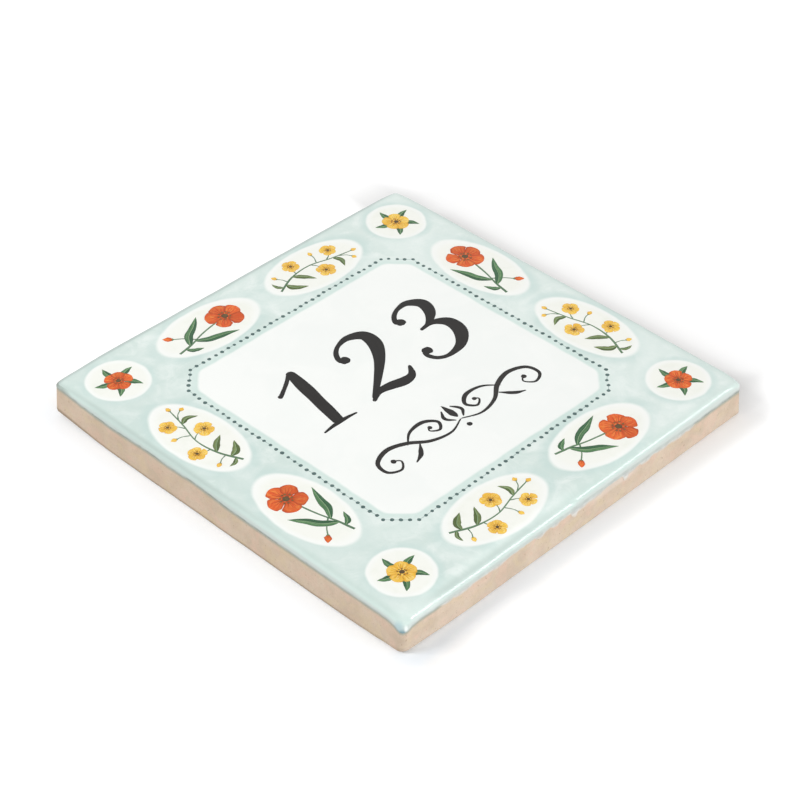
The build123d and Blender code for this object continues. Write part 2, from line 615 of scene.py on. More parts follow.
def glaze_depth(points):
    """How far the glaze runs down at each place of the outline."""
    pools = corner_share(points, CORNER_POOL, CORNER_REACH)
    return along_sides(points, GLAZE_RUN) + pools + wander_sum(points, DEPTH_WANDER)


def fringe_fade(x, width):
    """1 along the fringe of thin glaze, falling to 0 within this width of its ends."""
    start, end = FRINGE
    return np.clip((x - start) / width, 0, 1) * np.clip((end - x) / width, 0, 1)


def wandering_outline():
    """The outline with the small bows and dips of a pressed tile, and its normals."""
    base, normals = outline()
    inward = EDGE_WANDER * (1 + wander_at(base, 0.07, 1.3)) + along_sides(base, EDGE_BOW)
    return base - normals * inward[:, None], normals


def roll_over(base, normals, roll, lowest):
    """The arc that rolls the face over its edge: its radius, first tilt, first height and fall."""
    inner = base - normals * roll[:, None]
    top = face_height(*inner.T)
    within = face_height(*(inner - normals * TILT_PROBE).T)
    tilt = np.arctan2(np.maximum(within - top, 0), TILT_PROBE)
    radius = roll / (1 - np.sin(tilt))
    fall = np.minimum(radius * np.cos(tilt), ROLL_LIMIT * (top - lowest))
    return radius, tilt, top, fall


def edge_rows():
    """Rings of points from the face over its edge down to the back, with numbers for the materials."""
    base, normals = wandering_outline()
    depth = glaze_depth(base)
    rim = FACE_REST - depth
    lowest = rim + BEAD_RADIUS
    roll = np.minimum(depth * ROLL_SHARE, LARGEST_ROLL)
    radius, tilt, top, fall = roll_over(base, normals, roll, lowest)
    fringe = fringe_fade(base[:, 0], FRINGE_SHADE_FADE) * (normals[:, 1] < FACING_FRONT)
    worn = BACK_ARRIS * (1 + ARRIS_WANDER * wander_at(base, 0.35, 6.2))
    worn = worn + corner_share(base, CORNER_WEAR, WEAR_REACH)
    bare = GLAZE_PROUD + CLAY_WANDER * wander_at(base, 0.5, 5.5)
    foot = corner_share(base, FOOT_CORNER, FOOT_REACH)
    to_corner = np.sign(base) - normals
    rows = []

    def ring(inset, height, material=GLAZED, skirt=1.0, sharper=0.0):
        inset, height, skirt, sharper, _ = np.broadcast_arrays(inset, height, skirt, sharper, depth)
        place = base - normals * inset[:, None] + to_corner * sharper[:, None]
        numbers = {"above_rim": height - rim, "above_foot": height - worn, "fringe": fringe, "skirt": skirt}
        rows.append((np.column_stack((place, height)), numbers, material))

    for share in np.linspace(0, 1, ROLL_ROWS + 1):
        angle = tilt + (math.pi / 2 - tilt) * share
        ring(radius * (1 - np.sin(angle)), top - fall * (1 - np.cos(angle) / np.cos(tilt)), skirt=share)
    for share in np.linspace(0, 1, SKIRT_ROWS + 1)[1:]:
        ring(0.0, (top - fall) * (1 - share) + lowest * share)
    for angle in np.radians(np.linspace(0, 90, BEAD_ROWS + 1))[1:]:
        ring(BEAD_RADIUS * (1 - math.cos(angle)), lowest - BEAD_RADIUS * math.sin(angle))
    ring(bare, rim + BEAD_TUCK)
    for share in np.linspace(0, 1, CLAY_ROWS + 1):
        scuff = SCUFF * wander_at(base + share * SCUFF_DRIFT, 0.6, 2.0 + share) * math.sin(math.pi * share)
        ring(bare + scuff, (rim - CLAY_START) * (1 - share) + worn * share, BARE, sharper=foot * share)
    for angle in np.radians(np.linspace(0, 90, FOOT_ROWS + 1))[1:]:
        inset = bare + worn * (1 - math.cos(angle))
        sharper = np.minimum(foot, CORNER_RADIUS - LEAST_CORNER - inset)
        ring(inset, worn * (1 - math.sin(angle)), BARE, sharper=sharper)
    return rows


def face_grid(ring):
    """The face inside its outer ring, as a square grid whose squares shrink towards the middle."""
    steps = STEPS_PER_SIDE
    grid = np.zeros((steps + 1, steps + 1, 2))
    for i in range(steps + 1):
        for j in range(steps + 1):
            u, v = 2 * i / steps - 1, 2 * j / steps - 1
            reach = max(abs(u), abs(v))
            grid[i, j] = 0 if reach == 0 else reach * ring_at(ring, u / reach, v / reach)
    return grid


def ring_at(ring, u, v):
    """The point of the ring that lies towards (u, v) on the edge of the unit square."""
    steps = STEPS_PER_SIDE
    if v <= -1:
        place = (u + 1) / 2 * steps
    elif u >= 1:
        place = (1 + (v + 1) / 2) * steps
    elif v >= 1:
        place = (2 + (1 - u) / 2) * steps
    else:
        place = (3 + (1 - v) / 2) * steps
    low = int(place + 1e-6)
    share = place - low
    return ring[low % len(ring)] * (1 - share) + ring[(low + 1) % len(ring)] * share


def rounded_ring(half, corner, height):
    """A closed ring of points round a small rounded square."""
    points = []
    for quarter in range(4):
        middle = quarter * math.pi / 2 + math.pi / 4
        centre = Vector((math.cos(middle), math.sin(middle))) * math.sqrt(2) * (half - corner)
        for step in range(POCKET_CORNER_STEPS + 1):
            angle = quarter * math.pi / 2 + step / POCKET_CORNER_STEPS * math.pi / 2
            points.append((centre.x + corner * math.cos(angle), centre.y + corner * math.sin(angle), height))
    return points


def ring_edges(bm, ring):
    """The edges along a closed ring of points."""
    return [bm.edges.get(pair) for pair in zip(ring, ring[1:] + ring[:1])]


def join_rings(bm, upper, lower, material):
    """A strip of faces between two closed rings of points."""
    for k in range(len(upper)):
        n = (k + 1) % len(upper)
        bm.faces.new((upper[k], lower[k], lower[n], upper[n])).material_index = material


def add_pocket(bm, layers, x, y, mouth):
    """One drafted pocket of the back. Gives the edges of its mouth."""
    inset = POCKET_DEPTH * math.tan(POCKET_DRAFT)
    rims = []
    for inward, height in ((0.0, 0.0), (inset, POCKET_DEPTH)):
        points = rounded_ring(mouth - inward, POCKET_CORNER - inward, height)
        rims.append([bm.verts.new(((px + x) * MM, (py + y) * MM, pz * MM)) for px, py, pz in points])
    for vert in rims[0] + rims[1]:
        vert[layers["above_rim"]] = -THICKNESS
        vert[layers["above_foot"]] = THICKNESS
    join_rings(bm, rims[1], rims[0], BARE)
    bm.faces.new(rims[1]).material_index = BARE
    return ring_edges(bm, rims[0])


def add_back(bm, layers, ring):
    """Closes the underside with its land, ribs and drafted pockets."""
    pitch = (2 * (HALF_SIDE - GLAZE_PROUD - BACK_LAND) + RIB_WIDTH) / POCKETS_PER_SIDE
    places = [(i - (POCKETS_PER_SIDE - 1) / 2) * pitch for i in range(POCKETS_PER_SIDE)]
    edges = ring_edges(bm, ring)
    for x in places:
        for y in places:
            edges += add_pocket(bm, layers, x, y, (pitch - RIB_WIDTH) / 2)
    filled = bmesh.ops.triangle_fill(bm, use_beauty=True, edges=edges, normal=(0, 0, -1))
    for face in filled["geom"]:
        if isinstance(face, bmesh.types.BMFace):
            face.material_index = BARE


def grid_corner(place):
    """Grid indices of a place along the face's edge, counted as the outline is."""
    steps = STEPS_PER_SIDE
    side, along = divmod(place % (4 * steps), steps)
    return ((along, 0), (steps, along), (steps - along, steps), (0, steps - along))[side]


def add_face(bm, layers, ring):
    """The face inside its outer ring. Gives the points along its edge, in the order of the outline."""
    steps = STEPS_PER_SIDE
    grid = face_grid(ring)
    heights = face_height(grid[..., 0], grid[..., 1])
    face = [[bm.verts.new((grid[i, j, 0] * MM, grid[i, j, 1] * MM, heights[i, j] * MM))
             for j in range(steps + 1)] for i in range(steps + 1)]
    for vert in bm.verts:
        vert[layers["above_rim"]] = THICKNESS
    for i in range(steps):
        for j in range(steps):
            bm.faces.new((face[i][j], face[i + 1][j], face[i + 1][j + 1], face[i][j + 1]))
    return [face[i][j] for i, j in map(grid_corner, range(4 * steps))]


def add_rows(bm, layers, last, rows):
    """The rings of the edge and the sides, joined one below the other. Gives the points of the lowest."""
    for points, numbers, material in rows:
        ring = [bm.verts.new(point * MM) for point in points]
        for name, values in numbers.items():
            for vert, value in zip(ring, values):
                vert[layers[name]] = value
        join_rings(bm, last, ring, material)
        last = ring
    return last


def tile_piece():
    """The whole tile: painted face, rolled glaze, ragged glaze edge, bare sides and keyed back."""
    rows = edge_rows()
    bm = bmesh.new()
    layers = {name: bm.verts.layers.float.new(name) for name in rows[0][1]}
    edge = add_face(bm, layers, rows[0][0][:, :2])
    foot = add_rows(bm, layers, edge, rows[1:])
    add_back(bm, layers, foot)
    bmesh.ops.recalc_face_normals(bm, faces=bm.faces)
    mesh = bpy.data.meshes.new("plaque_tile")
    bm.to_mesh(mesh)
    bm.free()
    mesh.shade_smooth()
    mesh.set_sharp_from_angle(angle=TILE_CREASE)
    mesh.materials.append(glaze_material())
    mesh.materials.append(clay_material())
    piece = add_piece("plaque_tile", mesh)
    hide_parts(NODE)


def put(name, data):
    """A new object in the scene."""
    made = bpy.data.objects.new(name, data)
    bpy.context.scene.collection.objects.link(made)
    return made


def add_piece(name, mesh):
    """Puts a mesh in the scene as a piece that rides on the plaque."""
    piece = put(name, mesh)
    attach(piece, BODY)
    return piece


# Brush marks


def smooth_path(points, spacing=MARK_SPACING, least=8):
    """Evenly spaced points on a curve through the given ones, with any further numbers that these carry."""
    given = np.array(points, float)
    ends = np.vstack((2 * given[0] - given[1], given, 2 * given[-1] - given[-2]))
    t = np.linspace(0, 1, CURVE_STEPS, endpoint=False)[:, None]
    dense = []
    for a, b, c, d in zip(ends, ends[1:], ends[2:], ends[3:]):
        dense.append(0.5 * (2 * b + (c - a) * t + (2 * a - 5 * b + 4 * c - d) * t ** 2
                            + (3 * b - a - 3 * c + d) * t ** 3))
    dense = np.vstack(dense + [given[-1:]])
    walked = lengths(dense)
    count = max(least, int(walked[-1] / spacing) + 1)
    at = np.linspace(0, walked[-1], count)
    return np.column_stack([np.interp(at, walked, column) for column in dense.T])


def lengths(path):
    """How far along a path each of its points is."""
    return np.concatenate(([0], np.cumsum(np.hypot(*np.diff(path[:, :2], axis=0).T))))


def round_ends(path, half_widths):
    """Half widths that end a stroke in half circles."""
    walked = lengths(path)
    from_end = np.minimum(walked, walked[-1] - walked)
    cap = np.clip(from_end / half_widths, 0, 1)
    return half_widths * np.sqrt(cap * (2 - cap))


def sideways(path):
    """Unit directions to the left of a path at each of its points."""
    step = np.gradient(path, axis=0)
    forth = step / np.maximum(np.hypot(step[:, 0], step[:, 1]), 1e-9)[:, None]
    return np.column_stack((-forth[:, 1], forth[:, 0]))


class Film:
    """Thin closed sheets of one paint or glaze, joined into one mesh."""

    def __init__(self, name, material, layer=0):
        self.name, self.material = name, material
        self.rise = INK_RISE + layer * LAYER_RISE
        self.points, self.faces, self.strokes, self.tones = [], [], [], []
        self.marks = 0

    def sheet(self, front, back, tone):
        """A sheet between two grids of points."""
        rows, columns = front.shape[:2]
        along = np.repeat(np.linspace(0, 1, rows), columns)
        across = np.tile(np.linspace(0, 1, columns), rows)
        first = len(self.points)
        count = rows * columns
        for side in (front, back):
            self.points += side.reshape(-1, 3).tolist()
            self.strokes += np.column_stack((along, across)).tolist()
            self.tones += [tone] * count
        for i in range(rows - 1):
            for j in range(columns - 1):
                a = first + i * columns + j
                top = (a, a + 1, a + columns + 1, a + columns)
                self.faces.append(top)
                self.faces.append(tuple(k + count for k in reversed(top)))
        rim = list(range(columns))
        rim += [i * columns + columns - 1 for i in range(1, rows)]
        rim += [(rows - 1) * columns + j for j in range(columns - 2, -1, -1)]
        rim += [i * columns for i in range(rows - 2, 0, -1)]
        for a, b in zip(rim, rim[1:] + rim[:1]):
            self.faces.append((first + b, first + a, first + a + count, first + b + count))

    def stroke(self, path, half_widths, columns=3, wobble=0.07):
        """A brush mark on the face along a path, with its half width at each point and unsteady edges."""
        side = sideways(path)
        half = np.maximum(half_widths, LEAST_HALF)
        edges = []
        for sign in (1, -1):
            u = np.linspace(0, 2 * math.pi, len(path))
            shake = np.sin(1.3 * u + random.uniform(0, 6)) + 0.7 * np.sin(2.9 * u + random.uniform(0, 6))
            edges.append(path + side * (sign * half * (1 + wobble * shake))[:, None])
        share = np.linspace(0, 1, columns)[None, :, None]
        plan = edges[0][:, None, :] * (1 - share) + edges[1][:, None, :] * share
        height = face_height(plan[..., 0], plan[..., 1])[..., None]
        rise = self.rise + MARK_RISE * (self.marks % MARK_CYCLE)
        self.marks += 1
        front = np.concatenate((plan, height + rise), axis=2)
        back = np.concatenate((plan, height - INK_SINK), axis=2)
        self.sheet(front, back, random.random())

    def piece(self):
        mesh = bpy.data.meshes.new(self.name)
        mesh.from_pydata((np.array(self.points) * MM).tolist(), [], self.faces)
        layer = mesh.uv_layers.new(name="stroke")
        corners = np.zeros(len(mesh.loops), np.int32)
        mesh.loops.foreach_get("vertex_index", corners)
        layer.data.foreach_set("uv", np.array(self.strokes)[corners].ravel())
        mesh.attributes.new("tone", "FLOAT", "POINT").data.foreach_set("value", np.array(self.tones))
        mesh.materials.append(self.material)
        mesh.shade_smooth()
        mesh.set_sharp_from_angle(angle=FILM_CREASE)
        add_piece(self.name, mesh)


def fringe_piece():
    """Ragged runs of thin white glaze that hang out from under the glaze on the front side."""
    film = Film("glaze_fringe", fringe_material())
    x = np.arange(*FRINGE, FRINGE_STEP)
    base = wandering_outline()[0]
    front_side = slice(1, STEPS_PER_SIDE)
    skin = np.interp(x, base[front_side, 0], base[front_side, 1])
    rim = FACE_REST - np.interp(x, base[front_side, 0], glaze_depth(base)[front_side])
    hang = FRINGE_HANG + wander_sum(np.column_stack((x, np.full(len(x), -HALF_SIDE))), FRINGE_WANDER)
    for place, half, depth in FRINGE_RUNS:
        hang = hang + depth * np.exp(-((x - place) / half) ** 4)
    ends = fringe_fade(x, FRINGE_HANG_FADE)
    top = rim + FRINGE_TUCK
    bottom = np.minimum(rim - hang * ends + FRINGE_END * (1 - ends), top - FRINGE_LEAST)
    share = np.linspace(0, 1, FRINGE_ROWS)
    z = top[:, None] * (1 - share) + bottom[:, None] * share
    across = np.broadcast_to(x[:, None], z.shape)
    behind = np.interp(rim[:, None] - z, *np.array(FRINGE_SKIN).T)
    front = np.stack((across, skin[:, None] + behind, z), axis=2)
    back = np.stack((across, np.full(z.shape, FRINGE_ROOT - HALF_SIDE), z), axis=2)
    film.sheet(front, back, 0.5)
    film.piece()


def leaf_widths(count, half):
    """Half widths of a leaf, from its stalk to its point."""
    u = np.linspace(0, 1, count)
    return half * np.sin(np.pi * u ** 0.75) ** 0.85


def petal_widths(count, half):
    """Half widths of a petal, narrow at its base and full near its tip."""
    u = np.linspace(0, 1, count)
    return half * np.sin(np.pi * u ** 1.55) ** 0.62


def taper_widths(count, start, end):
    """Half widths of a stem."""
    return np.linspace(start, end, count) * (1 + 0.12 * np.sin(np.linspace(0, 9, count)))


class Motif:
    """A painted sprig in its own frame, which is turned, mirrored and moved to its medallion."""

    def __init__(self, inks, centre, angle=0.0, mirrored=False):
        self.inks = inks
        self.centre = np.array(centre)
        turn = math.radians(angle)
        self.turn = np.array(((math.cos(turn), math.sin(turn)), (-math.sin(turn), math.cos(turn))))
        self.flip = np.array((1, -1 if mirrored else 1))

    def place(self, path):
        return (path * self.flip) @ self.turn + self.centre

    def mark(self, ink, points, widths, *sizes, columns=3, spacing=MARK_SPACING):
        path = smooth_path(points, spacing)
        self.inks[ink].stroke(self.place(path), widths(len(path), *sizes), columns)

    def blot(self, ink, centre, radius):
        """A round touch of the brush."""
        turn = np.linspace(0, math.pi, BLOT_STEPS)
        path = np.array(centre) - np.outer(np.cos(turn), (radius, 0))
        self.inks[ink].stroke(self.place(path), radius * np.sin(turn), columns=5)

    def leaf(self, points, half, green="leaf", dark="shade"):
        """A leaf with a dark lower half and a pale rib."""
        self.mark(green, points, leaf_widths, half, columns=5)
        path = smooth_path(points)
        shade = path - sideways(path) * (leaf_widths(len(path), half) * 0.5)[:, None]
        self.inks[dark].stroke(self.place(shade[1:-2]), leaf_widths(len(path) - 3, half * 0.42))
        self.mark("rib", path[1:int(len(path) * 0.85)], taper_widths, 0.07, 0.03)

    def petal(self, ink, vein, centre, radius, angle):
        """A petal with three veins, a little off its size and angle."""
        forth, side = heading(angle + random.uniform(-5, 5))
        reach = radius * random.uniform(0.92, 1.04)
        width = radius * random.uniform(0.43, 0.49)
        lean = side * random.uniform(-0.08, 0.08) * radius

        def at(share, off=0.0):
            return np.array(centre) + forth * reach * share + side * width * off + lean * share ** 2

        self.mark(ink, (at(0.1), at(0.5), at(1.0)), petal_widths, width, columns=9, spacing=0.12)
        for off in (-0.34, 0.05, 0.4):
            tip = at(random.uniform(0.62, 0.82), off)
            self.mark(vein, (at(0.18), at(0.45, off * 0.6), tip), taper_widths, radius * 0.028, 0.02)

    def flower(self, petal, vein, centre, radius, start):
        """An open flower seen from the front."""
        self.blot(petal, centre, radius * 0.36)
        for k in range(PETALS):
            self.petal(petal, vein, centre, radius, start + 360 / PETALS * k)
        self.blot("heart", centre, radius * 0.17)
        for k in range(POLLEN_SPOTS):
            forth, _ = heading(360 / POLLEN_SPOTS * k + random.uniform(-8, 8))
            away = radius * random.uniform(0.26, 0.34)
            self.blot("pollen", centre + away * forth, radius * 0.05)

    def bud(self, petal, base, tip, half):
        """A closed flower in its green cup."""
        base, tip = np.array(base), np.array(tip)
        forth = tip - base
        self.mark(petal, (base, (base + tip) / 2, tip), leaf_widths, half, columns=5, spacing=0.1)
        cup = (base - forth * 0.15, base + forth * 0.2, base + forth * 0.45)
        self.mark("leaf", cup, leaf_widths, half * 0.6, spacing=0.1)


def orange_spray(motif):
    """One large orange flower and a bud on a bowed stem with long leaves."""
    motif.mark("stem", ((-10.4, -2.7), (-6.5, -1.9), (-2.5, -0.7), (2.6, 0.3)), taper_widths, 0.26, 0.16)
    motif.mark("stem", ((-4.6, -1.3), (-6.5, 0.9), (-8.2, 2.2)), taper_widths, 0.16, 0.12)
    motif.leaf(((-7.0, -2.0), (-5.0, 0.7), (-2.2, 2.5), (0.4, 4.6)), 0.95)
    motif.leaf(((-5.2, -1.5), (-2.6, -3.1), (0.6, -4.0), (4.0, -5.2)), 0.9)
    motif.leaf(((-8.4, -2.3), (-7.6, -3.6), (-5.4, -4.6)), 0.6)
    motif.bud("orange", (-8.2, 2.2), (-9.7, 3.7), 0.72)
    motif.flower("orange", "ember", (5.0, 0.6), 4.3, 12)


def yellow_sprig(motif):
    """An arching stem with three small yellow flowers, buds and narrow leaves."""
    motif.mark("stem", ((-11.2, -1.6), (-6.0, 0.6), (-0.5, 1.2), (5.0, -0.2), (10.2, -1.2)),
               taper_widths, 0.24, 0.11)
    for root, bend, tip in (((-4.4, 0.9), (-4.2, 2.2), (-3.6, 3.4)), ((0.0, 1.2), (0.9, -0.2), (1.2, -2.0)),
                            ((4.0, 0.2), (5.4, 1.0), (6.2, 2.2)), ((7.0, -0.7), (8.2, -1.6), (8.9, -2.8)),
                            ((1.6, 1.0), (2.4, 2.4), (2.6, 3.6)), ((-7.8, 0.0), (-8.2, 1.4), (-8.9, 2.4))):
        motif.mark("stem", (root, bend, tip), taper_widths, 0.12, 0.09)
    for points, half in ((((-8.8, -0.5), (-8.2, -2.4), (-5.6, -4.2)), 0.78),
                         (((-5.8, 0.6), (-4.0, -1.0), (-2.4, -3.4)), 0.7),
                         (((5.4, -0.3), (6.2, -2.2), (5.2, -4.3)), 0.62),
                         (((-9.8, -0.9), (-10.8, 0.2), (-10.9, 1.8)), 0.45)):
        motif.leaf(points, half, "olive", "moss")
    for base, tip in (((8.9, -2.8), (9.2, -3.9)), ((10.2, -1.2), (11.5, -1.3)), ((2.6, 3.6), (2.9, 4.9)),
                      ((-8.9, 2.4), (-9.4, 3.6))):
        motif.bud("yellow", base, tip, 0.52)
    for centre, radius, start in (((-3.5, 3.7), 2.1, 30), ((1.3, -2.5), 2.25, 70), ((6.6, 2.5), 2.0, 5)):
        motif.flower("yellow", "ochre", centre, radius, start)


def rosette(motif, petal, vein):
    """A single flower over a ring of leaves, for a corner roundel."""
    for k in range(PETALS):
        forth, side = heading(360 / PETALS * k + 54)
        motif.leaf((forth * 1.2, forth * 3.2 + side * 0.35, forth * 5.2), 0.72)
    motif.flower(petal, vein, (0.0, 0.0), 3.1, 18)


def paint_medallions(inks):
    """The sprigs in the side ovals and the rosettes in the corner roundels."""
    for k in range(4):
        along, out = heading(-90 * k)
        for place, sprig in ((-OVAL_ALONG, orange_spray), (OVAL_ALONG, yellow_sprig)):
            sprig(Motif(inks, along * place + out * OVAL_OUT, 90 * (k % 2), mirrored=k in (1, 2)))
    for x in (-1, 1):
        for y in (-1, 1):
            motif = Motif(inks, (x * ROUNDEL_PLACE, y * ROUNDEL_PLACE), 36 * (x + 2 * y))
            rosette(motif, *(("yellow", "ochre") if x == y else ("orange", "ember")))


# The border, the number and the flourish


def border_points():
    """Evenly spaced places round the clipped square of the dotted border."""
    half, cut = BORDER_HALF, BORDER_HALF - BORDER_CLIP
    corners = [(-cut, -half), (cut, -half), (half, -cut), (half, cut), (cut, half), (-cut, half),
               (-half, cut), (-half, -cut)]
    places = []
    for a, b in zip(corners, corners[1:] + corners[:1]):
        a, b = np.array(a), np.array(b)
        count = round(np.hypot(*(b - a)) / DOT_PITCH)
        places += [a + (b - a) * k / count for k in range(count)]
    return places


def paint_border(inks):
    """Hand-set dots, with a faint line between some of them."""
    dots = [p + np.array((random.gauss(0, DOT_STRAY), random.gauss(0, DOT_STRAY))) for p in border_points()]
    motif = Motif(inks, (0, 0))
    for here, after in zip(dots, dots[1:] + dots[:1]):
        motif.blot("dot", here, DOT_RADIUS * random.uniform(0.85, 1.12))
        if random.random() < LINE_SHARE:
            motif.mark("line", (here, (here + after) / 2, after), taper_widths, 0.07, 0.05)


NUMBER_SLANT = 0.2
NUMBER_MIDDLE = 9.5
NUMBER_SPACING = 0.16
# Each numeral's place, its pen strokes as points from its base line with the half width there, and the balls
# that end some of them
NUMERALS = (
    (-17.0,
     (((-5.4, 14.6, 0.7), (-4.4, 14.9, 0.5), (-1.8, 16.8, 0.45), (0.7, 19.0, 0.5)),
      ((0.9, 19.6, 0.95), (1.0, 15.0, 1.4), (1.0, 9.0, 1.45), (1.0, 4.0, 1.4), (1.0, 0.1, 1.15)),
      ((-3.6, 0.25, 0.22), (-1.2, 0.55, 0.42), (1.0, 0.6, 0.5), (3.2, 0.55, 0.42), (5.6, 0.25, 0.22))),
     ()),
    (-0.2, (((-4.8, 13.9, 0.5), (-4.8, 15.4, 0.62), (-4.0, 17.2, 0.55), (-2.2, 18.6, 0.5), (0.8, 19.1, 0.9),
             (4.2, 17.4, 1.5), (4.7, 13.8, 1.65), (2.6, 9.6, 1.3), (-1.4, 5.2, 0.85), (-5.8, 0.9, 0.5)),
            ((-6.4, 0.3, 0.4), (-3.8, 1.8, 0.75), (-0.6, 1.5, 1.25), (2.8, 0.6, 1.3), (5.2, 1.1, 0.85),
             (6.5, 3.6, 0.3))), ((-3.9, 14.1, 1.2),)),
    (17.0, (((-4.7, 15.0, 0.5), (-4.6, 16.2, 0.6), (-3.6, 17.7, 0.55), (-1.6, 18.8, 0.55), (1.2, 18.9, 0.95),
             (3.9, 16.6, 1.5), (3.5, 13.2, 1.3), (1.0, 10.8, 0.65), (-1.8, 10.1, 0.3)),
            ((-1.8, 10.3, 0.3), (2.0, 10.3, 0.75), (5.0, 8.0, 1.5), (5.2, 4.4, 1.65), (2.8, 1.2, 1.2),
             (-1.2, 0.2, 0.6), (-4.0, 1.0, 0.55), (-5.5, 2.9, 0.6), (-5.6, 4.6, 0.5))),
     ((-3.8, 15.1, 1.15), (-4.7, 4.4, 1.2))),
)


def slanted(centre, points):
    """A numeral's points, leaning, at its place along the number."""
    return [(centre + x + NUMBER_SLANT * (y - NUMBER_MIDDLE), y, half) for x, y, half in points]


def paint_number(inks):
    """Three slanted numerals with thick and thin strokes and round balls."""
    motif = Motif(inks, (0.0, NUMBER_BASE))
    for centre, strokes, balls in NUMERALS:
        for points in strokes:
            path = smooth_path(slanted(centre, points), NUMBER_SPACING)
            half_widths = round_ends(path, path[:, 2])
            inks["number"].stroke(motif.place(path[:, :2]), half_widths, columns=5, wobble=0.03)
        for x, y, radius in slanted(centre, balls):
            motif.blot("number", (x, y), radius)


PEN_HALF = 0.16
FLOURISH_SPACING = 0.25
# Half of the flourish, right of its middle: the points of each stroke and its fullest half width
FLOURISH = (
    (((0.0, -1.0), (4.4, -2.6), (9.2, -1.6), (13.2, 1.2), (17.6, 2.5), (21.6, 1.0), (22.2, -2.2),
      (19.6, -3.6), (17.8, -1.8), (19.2, -0.4)), 0.55),
    (((13.6, 0.6), (10.4, 3.2), (6.4, 3.6), (4.0, 1.6), (5.4, -0.4), (7.2, 0.7), (6.4, 1.8)), 0.45),
    (((1.2, 3.4), (2.4, 1.2), (1.0, -0.8)), 0.4),
    (((11.4, -0.6), (13.6, -3.0), (16.0, -4.2)), 0.5),
)


def paint_flourish(inks):
    """A mirrored pair of scrolls, in the lower part of the panel."""
    motif = Motif(inks, (0.0, FLOURISH_HEIGHT))
    for side in (1, -1):
        for points, half in FLOURISH:
            mirrored = [(side * x, y) for x, y in points]
            path = smooth_path(mirrored, FLOURISH_SPACING)
            u = np.linspace(0, 1, len(path))
            half_widths = PEN_HALF + (half - PEN_HALF) * np.sin(np.pi * u) ** 1.4
            inks["flourish"].stroke(motif.place(path), round_ends(path, half_widths))
        motif.blot("flourish", (side * 19.0, -0.8), 0.6)
        motif.blot("flourish", (side * 6.5, 1.4), 0.5)
    motif.mark("flourish", ((0.0, -0.2), (0.0, 2.0), (0.0, 4.6)), leaf_widths, 0.75, columns=5)
    motif.blot("flourish", (0.0, -3.4), 0.6)


# Each paint's piece and layer, then its material: a name, dark, middle and light colours and, where they
# aren't the usual ones, how much it streaks and how dark its base is
INKS = {
    "stem": ("painted_stems", 0, "stem_green", "#41634a", "#5d7f5c", "#84a07c", 0.6),
    "leaf": ("painted_leaves", 1, "leaf_green", "#2f5a3a", "#4c7a4e", "#7fa573"),
    "shade": ("painted_leaf_shade", 2, "deep_green", "#25492f", "#33603f", "#4a774f"),
    "olive": ("painted_olive_leaves", 1, "olive_green", "#4a5c33", "#6c7f48", "#9aa873"),
    "moss": ("painted_olive_shade", 2, "moss_green", "#37471f", "#4c5f2f", "#6b7c48"),
    "rib": ("painted_leaf_ribs", 3, "pale_green", "#6d9166", "#93b285", "#b7cda4"),
    "orange": ("painted_orange_petals", 4, "orange", "#b03c0a", "#e2571a", "#f59340", 1.0, 0.55),
    "yellow": ("painted_yellow_petals", 4, "yellow", "#dfa024", "#f5c53c", "#fde590", 1.0, 0.35),
    "ember": ("painted_orange_veins", 5, "ember", "#8f2f0a", "#b9430f", "#d65a1c"),
    "ochre": ("painted_yellow_veins", 5, "ochre", "#a9690e", "#c98517", "#dca03a"),
    "heart": ("painted_hearts", 6, "umber", "#3b2d1c", "#5a4526", "#7a6236"),
    "pollen": ("painted_pollen", 6, "pollen", "#4a3a1e", "#6b5427", "#8f7434"),
    "dot": ("painted_border_dots", 1, "dot_grey", "#3d5553", "#516a67", "#748a87", 0.7),
    "line": ("painted_border_line", 0, "line_grey", "#8ea5a2", "#a5bab6", "#bccbc8"),
    "number": ("painted_number", 1, "charcoal", "#0b0a09", "#15120f", "#2c2825", 0.6),
    "flourish": ("painted_flourish", 1, "soft_charcoal", "#110f0e", "#1c1917", "#38342f", 0.7),
}


def paint_face():
    """All the brushwork on the face, a piece for each paint."""
    inks = {key: Film(name, ink_material(*look), layer) for key, (name, layer, *look) in INKS.items()}
    paint_medallions(inks)
    paint_border(inks)
    paint_number(inks)
    paint_flourish(inks)
    for ink in inks.values():
        ink.piece()


# Floor, light and camera

# The floor starts and ends its lift to white this far along X or Y from the middle, and by twice the shift
# more on the right, where the shadow falls. Its patches fade out beyond that. Its half width is in metres
FLOOR_SHIFT = (6.0, 0.0, 0.0)
FLOOR_NEAR = HALF_SIDE + 1.0
FLOOR_FAR = HALF_SIDE + 23.0
FLOOR_LIFT = (0.15, 0.5)
PATCH_FADE = 22.0
FLOOR_HALF = 3.0
# Its colour where the clay throws warm light on it, a painted cool tint that cancels that light, and
# elsewhere
FLOOR_COOL = (0.828, 0.88, 0.93, 1.0)
FLOOR_PLAIN = (0.874, 0.874, 0.874, 1.0)
# Where that cool colour lies: its share, then bounds, each an axis and where along it the share starts and
# is full. Back runs along +X and +Y together, and beside along +X and -Y
COOL_PATCHES = (
    (1.0, ("right", 55.0, -20.0), ("right", -53.0, -48.0), ("up", -46.0, -51.0), ("up", -55.5, -52.0)),
    (0.5, ("right", -47.0, -50.0), ("right", -60.0, -55.0), ("up", -53.0, -48.0)),
)
